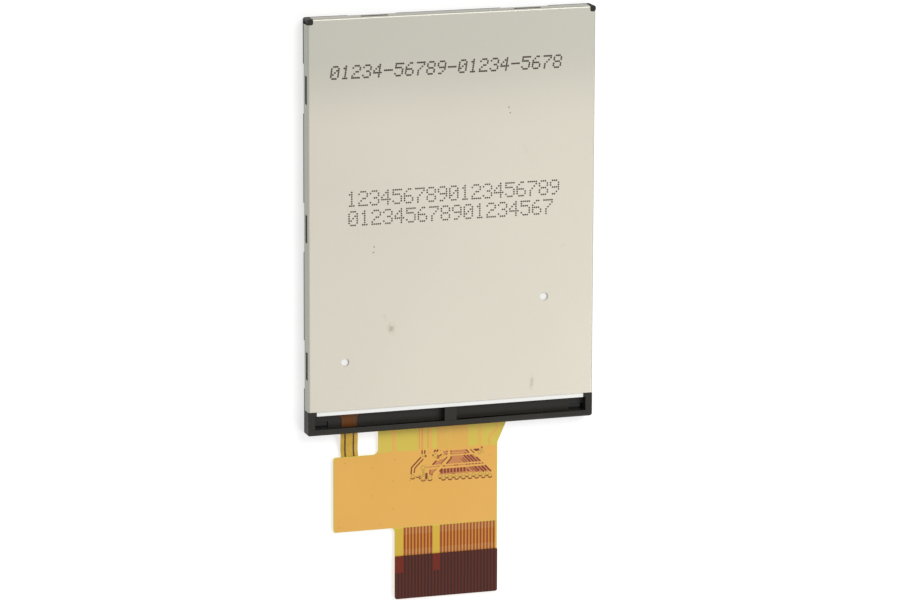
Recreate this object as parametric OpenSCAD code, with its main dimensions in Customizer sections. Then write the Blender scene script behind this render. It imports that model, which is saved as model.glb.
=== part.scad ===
// TFT display module with an LED backlight.
// A steel pan snapped over a moulded frame holds the light guide, the films and the glass cell.
// The LED flex leaves under the frame's bottom rim and is soldered to the main flex, which is
// bonded to the cell's ledge and ends in a stiffened contact tail.
// The module lies on its display face: X runs across it, Y up the picture, Z out of its rear.
// The origin is the centre of the outline on the display face. Inside the modules, Y is counted
// from the outline's bottom edge, and seat() moves each finished piece to the origin.

/* [Outline] */
// Width of the module
module_w = 42.72; // [35:0.01:52]
// Height of the module without its flexes
module_h = 60; // [50:0.1:75]
// Corner radius of the moulded outline
corner_r = 0.3; // [0.1:0.05:0.5]
// Dead border on each side of the picture
border_side = 3; // [2.5:0.1:5]
// Dead border above the picture
border_top = 2.64; // [2.2:0.01:5]
// Dead border below the picture
border_bottom = 8.4; // [7.4:0.1:12]

/* [Layers] */
// Polarizer film
polarizer_t = 0.13; // [0.1:0.01:0.2]
// Each glass of the cell
glass_t = 0.4; // [0.3:0.05:0.7]
// Gap between the glasses, filled by the seal
cell_gap = 0.01; // [0.01:0.01:0.03]
// Black tape between the cell and the backlight
tape_t = 0.05; // [0.03:0.01:0.1]
// Each prism film
prism_t = 0.065; // [0.05:0.005:0.15]
// Diffuser film
diffuser_t = 0.05; // [0.05:0.01:0.2]
// Light guide plate
guide_t = 0.7; // [0.7:0.05:1.2]
// White reflector film
reflector_t = 0.1; // [0.05:0.01:0.2]

/* [Rear pan] */
// Sheet thickness
pan_t = 0.2; // [0.1:0.01:0.25]
// Outer radius of the bends
bend_r = 0.3; // [0.26:0.01:0.5]
// Height of the pan's open bottom edge
pan_y0 = 3.5; // [3.3:0.1:5]
// Height of the walls' front edge above the display face
pan_wall_z0 = 0.42; // [0.42:0.01:0.8]
// Side of the square notch at each top corner
notch = 0.85; // [0.6:0.05:1.5]
// Inner corner radius of the notch
notch_r = 0.3; // [0.1:0.05:0.5]
// Length of each snap window
window_l = 4; // [2:0.1:5]
// Depth of each snap window, from the bend forwards
window_d = 1; // [0.6:0.05:1.2]
// Distance of the outer side windows from the module's ends
window_inset_y = 10.15; // [6:0.05:12]
// Distance of the top windows from the module's sides
window_inset_x = 10.05; // [6:0.05:12]
// Diameter of the two inspection holes
pan_hole_d = 1.15; // [0.5:0.05:3]
// Left inspection hole: distance from the left side and from the bottom edge
pan_hole_a = [5.45, 10.5];
// Right inspection hole: distance from the right side and from the bottom edge
pan_hole_b = [7.5, 18.15];

/* [Moulded frame] */
// Clearance between the frame and the pan
pan_fit = 0.03; // [0.02:0.01:0.1]
// Clearance round the glass, the light guide and other parts in their pockets
fit = 0.05; // [0.03:0.01:0.15]
// Thickness of the wall beside the light guide
frame_wall = 1.03; // [0.8:0.01:1.6]
// Width of the shelf that the tape and the cell rest on
shelf_w = 0.4; // [0.2:0.05:0.6]
// Depth of the frame's front edge behind the display face
lip_z0 = 0.1; // [0.05:0.01:0.2]
// Thickness of the lip that covers the pan's front edge
lip_t = 0.3; // [0.1:0.01:0.3]
// Length of the relief in the lip at each snap window
relief_l = 6.5; // [5.5:0.1:8]
// How far each relief widens towards the outline
relief_ramp = 0.35; // [0:0.05:0.6]
// Protrusion of each snap block from the frame's wall
snap_h = 0.17; // [0.1:0.01:0.2]
// Clearance between a snap block and its window
snap_clearance = 0.1; // [0.05:0.01:0.2]
// Height of a snap block's catch before its ramp begins
snap_catch = 0.25; // [0.1:0.05:0.4]
// Thickness of the bottom wall below the glass
bottom_wall = 0.4; // [0.3:0.05:0.8]
// Width of the bottom rim
rim_w = 0.9; // [0.8:0.05:1.2]
// Depth of the rim's rear face below the pan's
rim_drop = 0.05; // [0:0.01:0.2]
// Chamfer along the bottom rim
rim_chamfer = 0.3; // [0.1:0.05:0.4]
// Thickness of the recessed floor
floor_t = 0.2; // [0.1:0.01:0.22]
// Height at which the recess ends
recess_y1 = 2.9; // [2.6:0.05:3]
// Reach of the recess past the light guide's pocket on each side
recess_extra = 0.25; // [0:0.05:0.4]
// Thickness of the low wall between the recess and the LEDs
led_wall = 0.3; // [0.2:0.05:0.3]
// Height at which the floor ends and the opening for the films begins
floor_y1 = 3.4; // [3.3:0.05:3.8]
// Width of the centre land in the recess
land_w = 1.8; // [1:0.1:4]
// Length of the centre land
land_l = 1.9; // [1:0.1:1.9]
// Offset of the centre land to the left
land_offset = 0.1; // [0:0.1:2]
// Width and length of the pocket at each end of the recess
pocket_size = [2.2, 0.9];

/* [Glass cell] */
// Length of the ledge of the rear glass
ledge_l = 2.65; // [2.4:0.05:4]
// Inset of the polarizers from the glass edge
polarizer_inset = 0.4; // [0.2:0.05:0.8]
// Width of the seal line
seal_w = 0.9; // [0.5:0.1:1.5]
// Driver chip: length, width, thickness
chip_size = [17, 0.95, 0.28];
// Distance between the flex bond and the chip
chip_gap = 0.35; // [0.2:0.05:0.8]
// Thickness of the conductive adhesive under the chip and the flex
bond_t = 0.02; // [0.01:0.01:0.03]
// Length of the flex bond on the ledge
bond_l = 0.9; // [0.7:0.05:1]
// Thickness of the clear sealant on the ledge
sealant_t = 0.12; // [0.05:0.01:0.2]
// Width of the sealant at each end of the chip
sealant_w = 1.5; // [0.5:0.1:3]

/* [LEDs] */
// Number of LEDs
led_count = 4; // [2:1:6]
// LED: width, depth, height
led_size = [3.8, 1.15, 0.6];
// Wall round an LED's window
led_rim = 0.12; // [0.05:0.01:0.2]
// Depth of an LED's window
led_window_d = 0.35; // [0.1:0.05:0.6]
// Distance from the light guide's lit edge to the films
film_setback = 0.65; // [0.3:0.05:1.5]

/* [LED flex] */
// Film thickness
led_flex_t = 0.1; // [0.06:0.01:0.12]
// Tape between this flex and the light guide
led_tape_t = 0.03; // [0.02:0.01:0.05]
// Distance of the LED strip's ends from the light guide's pocket walls
strip_inset = 1.1; // [0.5:0.1:2]
// Distance of the tail's centre line from the module's left side
led_tail_inset = 6.36; // [6.3:0.01:8]
// Width of the tail inside the recess
led_tail_w_in = 2.3; // [1.8:0.05:2.4]
// Width by which the tail flares on each side where it meets the strip
led_tail_flare = 0.45; // [0.2:0.05:0.6]
// Length over which it flares
led_flare_l = 0.65; // [0.3:0.05:1]
// Width of the tail outside the frame
led_tail_w = 2.55; // [2:0.05:3]
// Sideways lean of the tail at its end, towards the module's centre
led_tail_lean = 0.42; // [0:0.02:0.6]
// Distance above the wing at which the tail reaches the main flex
led_tail_run = 0.5; // [0.2:0.05:1]
// Length of the tail that lies on the main flex
led_tail_lap = 1.4; // [1:0.05:2]
// Spacing of the two copper lines on the tail
led_trace_pitch = 1.26; // [1:0.02:1.6]
// Width of each copper line
led_trace_w = 0.22; // [0.1:0.02:0.4]
// Thickness of each copper line
led_trace_t = 0.015; // [0.01:0.005:0.018]
// Width of each solder joint at the tail's end
solder_w = 0.7; // [0.4:0.05:0.9]

/* [Main flex] */
// Number of contacts
contact_count = 30; // [20:1:32]
// Contact pitch
contact_pitch = 0.5; // [0.4:0.1:0.5]
// Width of each contact
contact_w = 0.32; // [0.2:0.01:0.35]
// Contacts that are not connected, counted from the left
idle_contacts = [0, 1, 11, 12];
// Length of the bare contacts
contact_l = 3.75; // [2:0.05:5]
// Distance of the contacts from the tail's end
contact_inset = 0.15; // [0.1:0.05:0.5]
// Film thickness
base_t = 0.07; // [0.05:0.005:0.1]
// Copper thickness
copper_t = 0.02; // [0.01:0.005:0.03]
// Stiffener thickness
stiffener_t = 0.21; // [0.1:0.01:0.25]
// Stiffener length
stiffener_l = 6.35; // [4:0.05:8]
// Position of the tail's centre line, to the left of the module's centre
tail_x = 0.2; // [0:0.05:1]
// Reach of the tail below the module
tail_reach = 25.5; // [20:0.5:60]
// Neck at the ledge: distances of its left and right edges from the module's sides
neck_inset = [10.91, 12.36];
// Distance below the module at which the right edge stops tapering
taper_reach = 3.3; // [2:0.1:5]
// Wing: distance of its left edge from the module's left side
wing_inset = 4.21; // [3.4:0.01:4.9]
// Wing: distances of its top and bottom edges below the module
wing_reach = [3.8, 14.9];
// Fillet between the neck and the wing
neck_fillet_r = 0.8; // [0.2:0.05:1]
// Fillet between the wing and the tail
tail_fillet_r = 0.6; // [0.2:0.05:1]
// Corner radius of the wing
wing_r = 0.35; // [0.1:0.05:1]
// Corner radius of the tail's end
tail_r = 0.3; // [0.1:0.05:1]
// Margin of film round the copper
copper_margin = 0.2; // [0.1:0.05:0.4]

/* [Neck traces] */
// Left traces: distances of their edges from the neck's left edge
left_traces = [[2.2, 2.58], [6.15, 6.5], [6.65, 6.98], [7.45, 8.02]];
// Right trace: distances of its edges from the tail's right edge
right_trace = [2.83, 2.47];
// Bundle of fine traces: first edge and last edge from the tail's centre line, and pitch
trace_bundle = [-1.5, 3.5, 0.25];
// Width of each trace in the bundle
trace_bundle_w = 0.15; // [0.08:0.01:0.2]
// Slanted trace: distance from the neck's right edge above, and from the tail's right edge below
slanted_trace = [1.5, 1.25];
// Distances below the module between which it slants
slant_reach = [1, 2.3];
// Width of the slanted trace
slanted_trace_w = 0.3; // [0.1:0.05:0.5]

/* [Chip parts] */
// Capacitor: length, width, height
capacitor_size = [1, 0.5, 0.32];
// Resistor: length, width, height
resistor_size = [1, 0.5, 0.3];
// Spacing of the parts along a row
part_pitch = 1.9; // [1.6:0.1:2.4]
// Distance of the first part of each row from the wing's left edge
part_inset = 1.25; // [0.8:0.05:2]
// Capacitor rows: distances below the module
capacitor_reach = [7.2, 8.6];
// Resistor row: distance below the module
resistor_reach = 11.6; // [9.6:0.1:13.5]

/* [Hidden] */
eps = 0.01;
beyond = 5;

// The stack, from the display face to the rear
z_front_glass = polarizer_t;
z_seal = z_front_glass + glass_t;
z_rear_glass = z_seal + cell_gap;
z_rear_polarizer = z_rear_glass + glass_t;
z_tape = z_rear_polarizer + polarizer_t;
z_shelf = z_tape + tape_t;
z_lower_prism = z_shelf + prism_t;
z_diffuser = z_lower_prism + prism_t;
z_guide = z_diffuser + diffuser_t;
z_reflector = z_guide + guide_t;
z_pan = z_reflector + reflector_t;
module_t = z_pan + pan_t;

// The moulded frame
half_w = module_w / 2;
lip_z1 = lip_z0 + lip_t;
core_x = half_w - pan_t - pan_fit;
core_y1 = module_h - pan_t - pan_fit;
core_z1 = z_pan - fit;
inner_bend_r = bend_r - pan_t;
guide_pocket_x = core_x - frame_wall;
guide_pocket_y1 = core_y1 - frame_wall;
cell_pocket_x = guide_pocket_x + shelf_w;
cell_pocket_y1 = guide_pocket_y1 + shelf_w;
rim_z = module_t - rim_drop;
bar_y1 = pan_y0 - fit;
led_wall_y1 = recess_y1 + led_wall;
recess_x = guide_pocket_x + recess_extra;
window_z1 = module_t - bend_r;
window_z0 = window_z1 - window_d;
side_windows = [window_inset_y, module_h / 2, module_h - window_inset_y];
top_windows = [window_inset_x - half_w, half_w - window_inset_x];

// The LED flex
z_led_flex = z_guide - led_tape_t - led_flex_t;
z_leds = z_led_flex + led_flex_t;
z_floor = z_led_flex - floor_t;
led_y0 = led_wall_y1 + 2 * fit;
guide_y0 = led_y0 + led_size[1] + 2 * fit;
film_y0 = guide_y0 + film_setback;
strip_y0 = led_wall_y1 + fit;
strip_y1 = film_y0 - 2 * fit;
strip_x = guide_pocket_x - strip_inset;
led_pitch = 2 * strip_x / led_count;
strip_r = 0.2;
reflector_y0 = recess_y1 - fit;
slot_side = 0.15;
slot_h = led_flex_t + slot_side;
led_tail_x = half_w - led_tail_inset;
flare_x = led_tail_w_in / 2 + led_tail_flare;
flare_y = [recess_y1 - slot_side - led_flare_l, recess_y1 - slot_side];
ramp_y1 = bottom_wall;
ramp_y0 = led_tail_run - wing_reach[0];
led_tail_end = -wing_reach[0] - led_tail_lap;
solder_inset = 0.15;

// The glass cell
cell_x = cell_pocket_x - fit;
cell_y0 = bottom_wall + fit;
cell_y1 = cell_pocket_y1 - fit;
front_glass_y0 = cell_y0 + ledge_l;
picture_x = half_w - border_side;
picture_y0 = border_bottom;
picture_y1 = module_h - border_top;
bond_y0 = cell_y0 + fit;
bond_y1 = bond_y0 + bond_l;
chip_y0 = bond_y1 + chip_gap;
chip_bond_margin = 0.05;

// The main flex
neck = [half_w - neck_inset[0], half_w - neck_inset[1]];
wing_x = half_w - wing_inset;
z_bond = z_rear_glass - bond_t;
z_copper = z_bond - copper_t;
z_base = z_copper - base_t;
z_contacts = z_base - copper_t;
z_solder = z_contacts;
z_led_tail_end = z_solder - led_flex_t;
tail_w = (contact_count + 1) * contact_pitch;
tail_x0 = -tail_x - tail_w / 2;
tail_x1 = -tail_x + tail_w / 2;
stiffener_y1 = stiffener_l - tail_reach;
neck_side = 0.5;
neck_rise = 0.16;
pour_y1 = fit - wing_reach[0];
trace_lap = 0.1;

// Points of an arc about [x, y]
function arc(x, y, r, a0, a1, n = 6) =
    [for (i = [0 : n]) let (a = a0 + (a1 - a0) * i / n) [x + r * cos(a), y + r * sin(a)]];

// Corners of a rectangle with round corners
function round_rect(x0, y0, x1, y1, r) = concat(
    arc(x1 - r, y1 - r, r, 0, 90),
    arc(x0 + r, y1 - r, r, 90, 180),
    arc(x0 + r, y0 + r, r, 180, 270),
    arc(x1 - r, y0 + r, r, 270, 360));

// Section of a wall pair under a top with round bends, half width x
function hat(x, z0, z1, r) = concat(
    [[-x, z0], [x, z0]],
    arc(x - r, z1 - r, r, 0, 90),
    arc(r - x, z1 - r, r, 90, 180));

// Section of one wall at y1 under a top that starts at y0
function half_hat(y0, y1, z0, z1, r) = concat(
    [[y0, z0], [y1, z0]],
    arc(y1 - r, z1 - r, r, 0, 90),
    [[y0, z1]]);

// Smooth step from 0 to 1
function ease(t) = let (u = min(max(t, 0), 1)) u * u * (3 - 2 * u);

// Front face of the LED flex at height y: level in the recess, then down to the main flex
function led_flex_z(y) =
    z_led_tail_end + (z_led_flex - z_led_tail_end) * ease((y - ramp_y0) / (ramp_y1 - ramp_y0));

// Section of a layer of thickness t that lies offset above the LED flex's front face
function led_flex_section(y0, y1, offset, t, n = 24) = let (
    ys = concat([y0], [for (i = [0 : n]) ramp_y0 + (ramp_y1 - ramp_y0) * i / n], [y1])) concat(
    [for (y = ys) [y, led_flex_z(y) + offset]],
    [for (i = [len(ys) - 1 : -1 : 0]) [ys[i], led_flex_z(ys[i]) + offset + t]]);

// Sideways shift of the LED flex's tail at height y
function tail_shift(y) = led_tail_lean * max(y, led_tail_end) / led_tail_end;

function contact_at(i) = tail_x0 + contact_pitch * (i + 1);
function is_idle(i) = len(search(i, idle_contacts)) > 0;

// Moves a piece from the bottom edge's frame to the part's origin
module seat() { translate([0, -module_h / 2, 0]) children(); }

// Box between two corners
module slab(x0, y0, z0, x1, y1, z1) {
    translate([x0, y0, z0]) cube([x1 - x0, y1 - y0, z1 - z0]);
}

// Box that is centred across the module
module plate(x, y0, y1, z, t) { slab(-x, y0, z, x, y1, z + t); }

// Extrudes a [y, z] section across the module
module along_x(x0, x1) {
    translate([x0, 0, 0]) rotate([90, 0, 90]) linear_extrude(x1 - x0) children();
}

// Extrudes an [x, z] section up the module
module along_y(y0, y1) {
    translate([0, y1, 0]) rotate([90, 0, 0]) linear_extrude(y1 - y0) children();
}

// Copies on the left and on the right
module both_sides() {
    children();
    mirror([1, 0, 0]) children();
}

module front_polarizer() {
    color("#17181c") seat() plate(cell_x - polarizer_inset, front_glass_y0 + polarizer_inset,
        cell_y1 - polarizer_inset, 0, polarizer_t);
}

module colour_filter_glass() {
    color("#3a4046") seat() plate(cell_x, front_glass_y0, cell_y1, z_front_glass, glass_t);
}

module cell_seal() {
    x = cell_x - fit;
    y0 = front_glass_y0 + fit;
    y1 = cell_y1 - fit;
    color("#d8d2c0") seat() difference() {
        plate(x, y0, y1, z_seal, cell_gap);
        plate(x - seal_w, y0 + seal_w, y1 - seal_w, z_seal - eps, cell_gap + 2 * eps);
    }
}

module tft_glass() {
    color("#46504f") seat() plate(cell_x, cell_y0, cell_y1, z_rear_glass, glass_t);
}

module rear_polarizer() {
    color("#1b1c20") seat() plate(cell_x - polarizer_inset, front_glass_y0 + 2 * polarizer_inset,
        cell_y1 - polarizer_inset, z_rear_polarizer, polarizer_t);
}

module driver_ic() {
    color("#2a2c30") seat() plate(chip_size[0] / 2, chip_y0, chip_y0 + chip_size[1],
        z_bond - chip_size[2], chip_size[2]);
}

module bond_films() {
    color("#8f8468") seat() {
        plate(chip_size[0] / 2 + chip_bond_margin, chip_y0 - chip_bond_margin,
            chip_y0 + chip_size[1] + chip_bond_margin, z_bond, bond_t);
        slab(-neck[0], bond_y0, z_bond, neck[1], bond_y1, z_rear_glass);
    }
}

module ledge_sealant() {
    gap = chip_bond_margin + fit;
    x = chip_size[0] / 2 + gap;
    color("#c9d6e2") seat() difference() {
        plate(x + sealant_w, bond_y1 + fit, front_glass_y0 - fit, z_rear_glass - sealant_t, sealant_t);
        plate(x, chip_y0 - gap, chip_y0 + chip_size[1] + gap, 0, beyond);
    }
}

module rim_tape() {
    margin = 0.25;
    y0 = front_glass_y0 + 2 * polarizer_inset + 2 * fit;
    color("#101012") seat() difference() {
        plate(cell_x - fit, y0, cell_y1 - fit, z_tape, tape_t);
        plate(picture_x + margin, picture_y0 - margin, picture_y1 + margin, z_tape - eps,
            tape_t + 2 * eps);
    }
}

// A film in the backlight's pocket
module film(z, t) { plate(guide_pocket_x - 2 * fit, film_y0, guide_pocket_y1 - 2 * fit, z, t); }

module upper_prism_film() { color("#dfe4e6") seat() film(z_shelf, prism_t); }

module lower_prism_film() { color("#d3d9dc") seat() film(z_lower_prism, prism_t); }

module diffuser_film() { color("#eceeee") seat() film(z_diffuser, diffuser_t); }

module light_guide() {
    chamfer = 0.5;
    x = guide_pocket_x - fit;
    y1 = guide_pocket_y1 - fit;
    color("#dbe8ec") seat() translate([0, 0, z_guide]) linear_extrude(guide_t) polygon([
        [-x, guide_y0], [x, guide_y0], [x, y1 - chamfer], [x - chamfer, y1],
        [chamfer - x, y1], [-x, y1 - chamfer]]);
}

module reflector_film() {
    color("#f4f5f2") seat()
        plate(guide_pocket_x - fit, reflector_y0, guide_pocket_y1 - fit, z_reflector, reflector_t);
}

module led_tape() {
    color("#e8e4d2") seat() plate(strip_x, guide_y0 + fit, strip_y1, z_leds, led_tape_t);
}

// One side-view LED: a white body with a hollow window towards the light guide
module led() {
    difference() {
        cube(led_size);
        translate([led_rim, led_size[1] - led_window_d, led_rim])
            cube([led_size[0] - 2 * led_rim, beyond, led_size[2] - 2 * led_rim]);
    }
}

module leds() {
    color("#f2efe2") seat() for (i = [0 : led_count - 1])
        translate([led_pitch * (i + 0.5) - strip_x - led_size[0] / 2, led_y0, z_leds]) led();
}

// Plan of the LED flex: the strip under the LEDs and its tail
module led_flex_plan() {
    inner = led_tail_w_in / 2;
    outer = led_tail_w / 2;
    step_y = 0.1;
    strip_lap = strip_y0 + 2 * strip_r;
    polygon(round_rect(-strip_x, strip_y0, strip_x, strip_y1, strip_r));
    translate([-led_tail_x, 0]) {
        polygon([
            [-flare_x, strip_lap], [-flare_x, flare_y[1]], [-inner, flare_y[0]], [-inner, step_y],
            [inner, step_y], [inner, flare_y[0]], [flare_x, flare_y[1]], [flare_x, strip_lap]]);
        polygon([for (p = round_rect(-outer, led_tail_end, outer, step_y + strip_r, strip_r))
            [p[0] + tail_shift(min(p[1], 0)), p[1]]]);
    }
}

// Keeps what of its children's plan lies in a layer that follows the LED flex down to the main flex
module on_led_flex(y0, y1, offset, t) {
    intersection() {
        translate([0, 0, -1]) linear_extrude(module_t + 2) children();
        along_x(-half_w, half_w) polygon(led_flex_section(y0, y1, offset, t));
    }
}

module led_flex() {
    color("#c79a35") seat()
        on_led_flex(led_tail_end - 1, strip_y1 + 1, 0, led_flex_t) led_flex_plan();
}

module led_flex_traces() {
    y0 = -wing_reach[0] - solder_inset + fit;
    y1 = led_wall_y1 - fit;
    w = led_trace_w / 2;
    color("#5a3216") seat() for (s = [-1, 1])
        on_led_flex(y0, y1, led_flex_t, led_trace_t)
            translate([s * led_trace_pitch / 2 - led_tail_x, 0]) polygon([
                [tail_shift(y0) - w, y0], [tail_shift(y0) + w, y0], [w, 0], [w, y1], [-w, y1], [-w, 0]]);
}

module tail_solder() {
    y0 = led_tail_end + solder_inset;
    y1 = -wing_reach[0] - solder_inset;
    color("#c8ccd0") seat() for (s = [-1, 1])
        translate([s * led_trace_pitch / 2 - led_tail_x + tail_shift((y0 + y1) / 2), 0, 0])
            slab(-solder_w / 2, y0, z_solder, solder_w / 2, y1, z_base);
}

// Block that catches a snap window's front edge, with a ramp towards the rear, at x = 0
module snap_block() {
    root = 0.2;
    ramp_end = 0.02;
    l = window_l - 3 * snap_clearance;
    z0 = window_z0 + snap_clearance / 2;
    z1 = window_z1 - snap_clearance;
    along_y(-l / 2, l / 2) polygon([
        [-root, z0], [snap_h, z0], [snap_h, z0 + snap_catch], [ramp_end, z1], [-root, z1]]);
}

// Outline of a relief in the lip, centred on the origin and open towards +X
module relief() {
    depth = pan_t + pan_fit;
    y = relief_l / 2;
    polygon([
        [0, -y], [depth, -y - relief_ramp], [beyond, -y - relief_ramp],
        [beyond, y + relief_ramp], [depth, y + relief_ramp], [0, y]]);
}

// Puts its children at each snap window, facing outwards
module at_windows() {
    both_sides() for (y = side_windows) translate([core_x, y, 0]) children();
    for (x = top_windows) translate([x, core_y1, 0]) rotate([0, 0, 90]) children();
}

// Full-height block at the left top corner, where the pan is notched
module corner_block() {
    gap = pan_fit;
    translate([0, 0, lip_z0]) linear_extrude(rim_z - lip_z0) polygon(round_rect(
        half_w - notch + gap, module_h - notch + gap, half_w, module_h, corner_r));
}

// Bottom bar before its recess is cut: full outline, chamfered along the rear of its rim
module bottom_bar() {
    intersection() {
        translate([0, 0, lip_z0]) linear_extrude(rim_z)
            polygon(round_rect(-half_w, 0, half_w, module_h, corner_r));
        along_x(-half_w, half_w) polygon([
            [0, lip_z0], [bar_y1, lip_z0], [bar_y1, rim_z], [rim_chamfer, rim_z],
            [0, rim_z - rim_chamfer]]);
    }
}

// Walls that stand inside the pan, with edges that follow the pan's inner bends
module frame_core() {
    intersection() {
        along_y(bar_y1 - eps, core_y1) polygon(hat(core_x, lip_z0, core_z1, inner_bend_r));
        along_x(-core_x, core_x)
            polygon(half_hat(bar_y1 - eps, core_y1, lip_z0, core_z1, inner_bend_r));
    }
}

// Everything that is cut from the frame
module frame_cuts() {
    slot_x = led_tail_w / 2 + slot_side;
    // Pocket for the cell, below the floor and up to the shelf
    slab(-cell_pocket_x, bottom_wall, -1, cell_pocket_x, cell_pocket_y1, z_floor);
    slab(-cell_pocket_x, floor_y1, -1, cell_pocket_x, cell_pocket_y1, z_shelf);
    // Opening for the films and the light guide, and the LED bay in front of it
    slab(-guide_pocket_x, floor_y1, -1, guide_pocket_x, guide_pocket_y1, beyond);
    slab(-guide_pocket_x, led_wall_y1, z_led_flex, guide_pocket_x, floor_y1 + eps, beyond);
    // Recess behind the rim, and the seat of the reflector's edge
    slab(-recess_x, rim_w, z_led_flex, recess_x, recess_y1, beyond);
    slab(-guide_pocket_x, reflector_y0 - fit, z_reflector, guide_pocket_x, floor_y1 + eps, beyond);
    // Pockets at both ends of the recess
    both_sides() slab(recess_x - pocket_size[0], rim_w, 0, recess_x, rim_w + pocket_size[1], beyond);
    // Way out for the LED tail: through the low wall, under the rim and past the bottom wall
    translate([-led_tail_x, 0, 0]) {
        slab(-flare_x - slot_side, recess_y1 - eps, z_led_flex, flare_x + slot_side,
            led_wall_y1 + eps, z_led_flex + slot_h);
        slab(-slot_x, -1, z_led_flex, slot_x, rim_w + eps, z_led_flex + slot_h);
        slab(-slot_x, -1, -1, slot_x, bottom_wall + eps, z_led_flex + eps);
    }
    // Way out for the main flex
    slab(-neck[0] - neck_side, -1, -1, neck[1] + neck_side, bottom_wall + eps, z_bond + neck_rise);
}

module moulded_frame() {
    color("#26282a") seat() {
        difference() {
            union() {
                translate([0, 0, lip_z0]) linear_extrude(lip_t) difference() {
                    polygon(round_rect(-half_w, 0, half_w, module_h, corner_r));
                    at_windows() relief();
                }
                frame_core();
                bottom_bar();
                both_sides() corner_block();
            }
            frame_cuts();
        }
        translate([-land_offset, 0, 0])
            plate(land_w / 2, rim_w - eps, rim_w + land_l, z_floor, rim_z - rim_drop - z_floor);
        at_windows() snap_block();
    }
}

module pan_shape(x, y0, y1, z0, z1, r) {
    intersection() {
        along_y(y0, y1) polygon(hat(x, z0, z1, r));
        along_x(-x, x) polygon(half_hat(y0, y1, z0, z1, r));
    }
}

module rear_pan() {
    color("#c9c5b8") seat() difference() {
        pan_shape(half_w, pan_y0, module_h, pan_wall_z0, module_t, bend_r);
        pan_shape(half_w - pan_t, pan_y0 - 1, module_h - pan_t, pan_wall_z0 - 1, z_pan, inner_bend_r);
        both_sides() linear_extrude(beyond) polygon(round_rect(
            half_w - notch, module_h - notch, half_w + 1, module_h + 1, notch_r));
        at_windows() slab(0, -window_l / 2, window_z0, 1, window_l / 2, window_z1);
        for (p = [[pan_hole_a[0] - half_w, pan_hole_a[1]], [half_w - pan_hole_b[0], pan_hole_b[1]]])
            translate([p[0], p[1], z_pan - eps]) cylinder(h = pan_t + 2 * eps, d = pan_hole_d, $fn = 48);
    }
}

// Plan of the printed flex, from the bond down the neck, round the wing and down the tail
module flex_plan() {
    polygon(concat(
        [[-neck[0], bond_y1]],
        arc(-neck[0] - neck_fillet_r, neck_fillet_r - wing_reach[0], neck_fillet_r, 0, -90),
        arc(wing_r - wing_x, -wing_r - wing_reach[0], wing_r, 90, 180),
        arc(wing_r - wing_x, wing_r - wing_reach[1], wing_r, 180, 270),
        arc(tail_x0 - tail_fillet_r, -tail_fillet_r - wing_reach[1], tail_fillet_r, 90, 0),
        arc(tail_x0 + tail_r, tail_r - tail_reach, tail_r, 180, 270),
        arc(tail_x1 - tail_r, tail_r - tail_reach, tail_r, 270, 360),
        [[tail_x1, -taper_reach], [neck[1], 0], [neck[1], bond_y1]]));
}

module main_flex() {
    color("#d3c45c") seat() translate([0, 0, z_base]) linear_extrude(base_t) flex_plan();
}

// Copper fill of the wing and of the upper tail
module pour_plan() {
    m = copper_margin;
    polygon(concat(
        [[m - neck[0], pour_y1], [m - neck[0], -wing_reach[0] - m]],
        arc(m + wing_r - wing_x, -m - wing_r - wing_reach[0], wing_r, 90, 180),
        arc(m + wing_r - wing_x, m + wing_r - wing_reach[1], wing_r, 180, 270),
        [[tail_x1 - m, m - wing_reach[1]], [tail_x1 - m, pour_y1]]));
}

// A straight trace from the bond down into the copper fill
module neck_trace(x0, x1) {
    translate([x0, pour_y1 - trace_lap]) square([x1 - x0, bond_y1 - fit - pour_y1 + trace_lap]);
}

// A trace that runs down beside the neck's right edge and slants towards the tail
module slanted_neck_trace() {
    x0 = tail_x1 - slanted_trace[1];
    x1 = neck[1] - slanted_trace[0];
    w = slanted_trace_w;
    neck_y1 = bond_y1 - fit;
    polygon([
        [x1, neck_y1], [x1, -slant_reach[0]], [x0, -slant_reach[1]], [x0, pour_y1 - trace_lap],
        [x0 + w, pour_y1 - trace_lap], [x0 + w, w / 3 - slant_reach[1]],
        [x1 + w, w / 3 - slant_reach[0]], [x1 + w, neck_y1]]);
}

module rear_copper() {
    bundle_x0 = trace_bundle[0] - tail_x;
    bundle_x1 = trace_bundle[1] - tail_x;
    color("#dba750") seat() translate([0, 0, z_copper]) linear_extrude(copper_t) {
        pour_plan();
        for (t = left_traces) neck_trace(t[0] - neck[0], t[1] - neck[0]);
        for (x = [bundle_x0 : trace_bundle[2] : bundle_x1 - trace_bundle_w])
            neck_trace(x, x + trace_bundle_w);
        neck_trace(tail_x1 - right_trace[0], tail_x1 - right_trace[1]);
        slanted_neck_trace();
    }
}

module contact_fingers() {
    color("#c9a24a") seat() for (i = [0 : contact_count - 1]) {
        y0 = contact_inset - tail_reach;
        y1 = is_idle(i) ? y0 + contact_l : -wing_reach[1] - trace_lap;
        x = contact_at(i);
        slab(x - contact_w / 2, y0, z_contacts, x + contact_w / 2, y1, z_base);
    }
}

module flex_stiffener() {
    color("#5c2f2a") seat() translate([0, 0, z_copper]) linear_extrude(stiffener_t) polygon(concat(
        [[tail_x1, stiffener_y1], [tail_x0, stiffener_y1]],
        arc(tail_x0 + tail_r, tail_r - tail_reach, tail_r, 180, 270),
        arc(tail_x1 - tail_r, tail_r - tail_reach, tail_r, 270, 360)));
}

// The i-th chip part of a row, which hangs below the flex: a body with a raised terminal at each end
module chip_part(i, reach, size) {
    terminal = size[0] / 4;
    inset = 0.02;
    translate([part_inset - wing_x + part_pitch * i - size[0] / 2, -reach - size[1] / 2, z_base - size[2]]) {
        translate([inset, inset, inset]) cube([size[0] - 2 * inset, size[1] - 2 * inset, size[2] - inset]);
        for (x = [0, size[0] - terminal]) translate([x, 0, 0]) cube([terminal, size[1], size[2]]);
    }
}

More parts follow.
